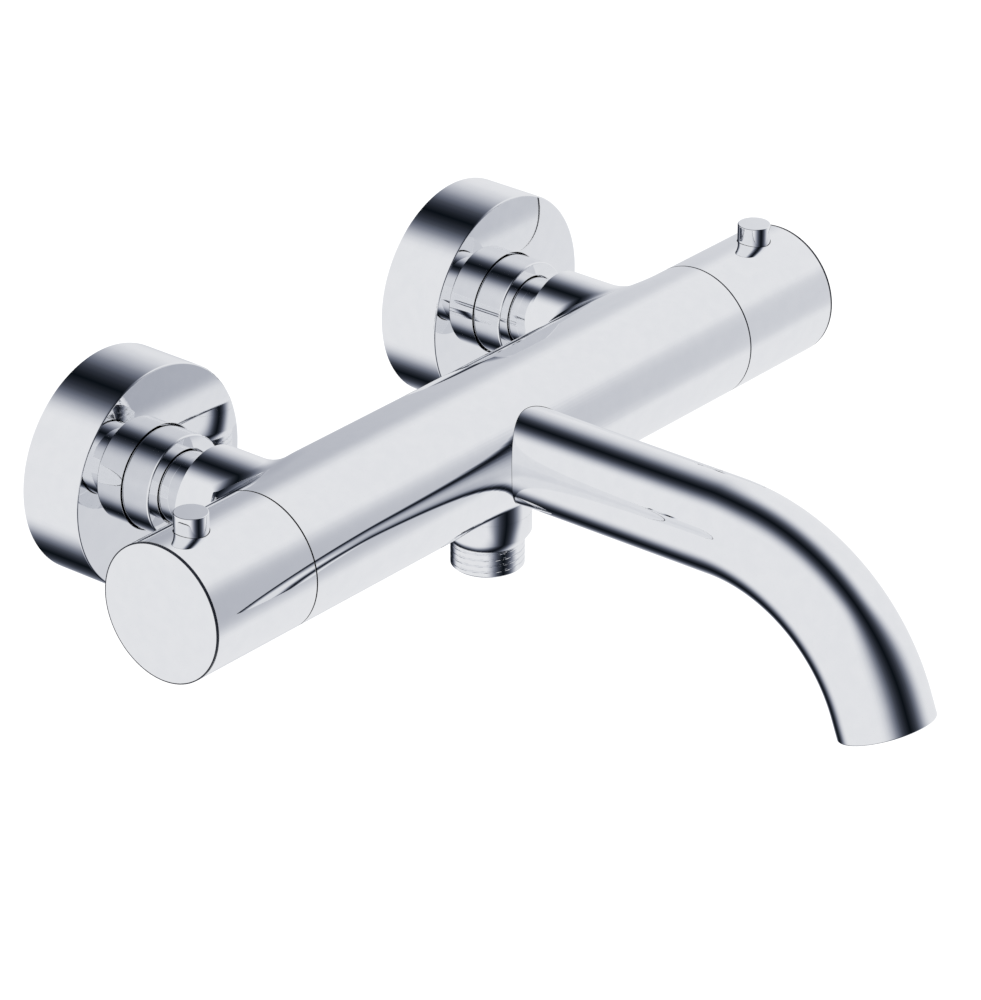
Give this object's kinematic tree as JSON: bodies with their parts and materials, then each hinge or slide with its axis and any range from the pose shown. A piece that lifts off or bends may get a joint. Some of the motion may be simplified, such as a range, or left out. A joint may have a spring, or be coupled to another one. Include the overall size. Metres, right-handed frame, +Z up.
{
  "type": "wall mounted bath faucet",
  "caption": "Thermostatic bath and shower mixer: round bar body on two wall unions, bent tube spout, shower hose outlet, flow and temperature handles with stop buttons.",
  "frame": {"origin": "on the wall plane, midway between the two inlet axes and level with them", "axes": "+X to the right for someone facing the wall, along the body; +Y into the wall; +Z up"},
  "size_m": [0.2684, 0.2412, 0.0793],
  "materials": {
    "chrome": "mirror polished chrome plate on brass",
    "brass": "turned, unplated",
    "steel": "drawn or stamped stainless steel",
    "rubber": "matt black EPDM",
    "white_plastic": "moulded acetal, satin",
    "grey_plastic": "moulded glass filled nylon, satin",
    "ceramic": null
  },
  "bodies": {
    "fixed_body": {"valve_body": "chrome", "spout_tube": "chrome", "spout_nipple": "brass", "spout_o_ring": "rubber", "aerator_housing": "chrome", "aerator_insert": "grey_plastic", "aerator_washer": "rubber", "shower_outlet": "chrome", "shower_outlet_o_ring": "rubber", "flow_retaining_nut": "brass", "flow_stop_ring": "grey_plastic", "flow_cartridge_gasket": "rubber", "flow_cartridge_housing": "grey_plastic", "flow_fixed_disc": "ceramic", "temperature_retaining_nut": "brass", "temperature_stop_ring": "grey_plastic", "thermostat_housing": "grey_plastic", "thermostat_divider_ring": "rubber", "return_spring": "steel", "hot_escutcheon": "chrome", "hot_escutcheon_ring": "rubber", "hot_wall_union": "chrome", "hot_union_washer": "rubber", "hot_strainer": "steel", "hot_tailpiece": "chrome", "hot_check_valve_housing": "white_plastic", "hot_check_valve_spring": "steel", "cold_escutcheon": "chrome", "cold_escutcheon_ring": "rubber", "cold_wall_union": "chrome", "cold_union_washer": "rubber", "cold_strainer": "steel", "cold_tailpiece": "chrome", "cold_check_valve_housing": "white_plastic", "cold_check_valve_spring": "steel"},
    "hot_union_nut": {"hot_union_nut": "chrome"},
    "cold_union_nut": {"cold_union_nut": "chrome"},
    "hot_check_valve": {"hot_check_valve_poppet": "grey_plastic"},
    "cold_check_valve": {"cold_check_valve_poppet": "grey_plastic"},
    "flow_handle": {"flow_handle": "chrome", "flow_handle_cap": "chrome", "flow_handle_adapter": "white_plastic", "flow_handle_screw": "steel", "flow_button_spring": "steel", "flow_turning_disc": "ceramic", "flow_spindle": "brass"},
    "flow_stop_button": {"flow_stop_button": "chrome"},
    "temperature_handle": {"temperature_handle": "chrome", "temperature_handle_cap": "chrome", "temperature_handle_adapter": "white_plastic", "temperature_handle_screw": "steel", "temperature_button_spring": "steel", "temperature_spindle": "brass"},
    "temperature_stop_button": {"temperature_stop_button": "chrome"},
    "thermostat_core": {"thermostat_spool": "brass", "wax_element": "brass", "adjusting_slider": "brass", "overload_spring": "steel"}
  },
  "joints": [
    {"name": "flow_handle_turn", "type": "hinge", "parent": "fixed_body", "child": "flow_handle", "pos_m": [-0.1145, -0.075, 0], "axis": [1, 0, 0], "range_deg": [-90, 90]},
    {"name": "temperature_handle_turn", "type": "hinge", "parent": "fixed_body", "child": "temperature_handle", "pos_m": [0.1145, -0.075, 0], "axis": [1, 0, 0], "range_deg": [-165, 45]},
    {"name": "flow_button_press", "type": "slide", "parent": "flow_handle", "child": "flow_stop_button", "axis": [0, 0, -1], "range_m": [0, 0.0015], "stiffness_N_per_m": 600, "springref_m": -0.003, "deforming": ["flow_button_spring"]},
    {"name": "temperature_button_press", "type": "slide", "parent": "temperature_handle", "child": "temperature_stop_button", "axis": [0, 0, -1], "range_m": [0, 0.0015], "stiffness_N_per_m": 600, "springref_m": -0.003, "deforming": ["temperature_button_spring"]},
    {"name": "hot_check_valve_open", "type": "slide", "parent": "fixed_body", "child": "hot_check_valve", "axis": [0, -1, 0], "range_m": [0, 0.0025], "stiffness_N_per_m": 150, "springref_m": -0.003, "deforming": ["hot_check_valve_spring"]},
    {"name": "cold_check_valve_open", "type": "slide", "parent": "fixed_body", "child": "cold_check_valve", "axis": [0, -1, 0], "range_m": [0, 0.0025], "stiffness_N_per_m": 150, "springref_m": -0.003, "deforming": ["cold_check_valve_spring"]},
    {"name": "thermostat_core_slide", "type": "slide", "parent": "fixed_body", "child": "thermostat_core", "axis": [1, 0, 0], "range_m": [-0.0009, 0.0003], "deforming": ["return_spring"]},
    {"name": "hot_union_nut_turn", "type": "hinge", "parent": "fixed_body", "child": "hot_union_nut", "pos_m": [-0.075, -0.0235, 0], "axis": [0, 1, 0], "continuous": true},
    {"name": "cold_union_nut_turn", "type": "hinge", "parent": "fixed_body", "child": "cold_union_nut", "pos_m": [0.075, -0.0235, 0], "axis": [0, 1, 0], "continuous": true}
  ],
  "couplings": [
    {"joint": "thermostat_core_slide", "follows": "temperature_handle_turn", "m_per_rad": 0.0003}
  ]
}
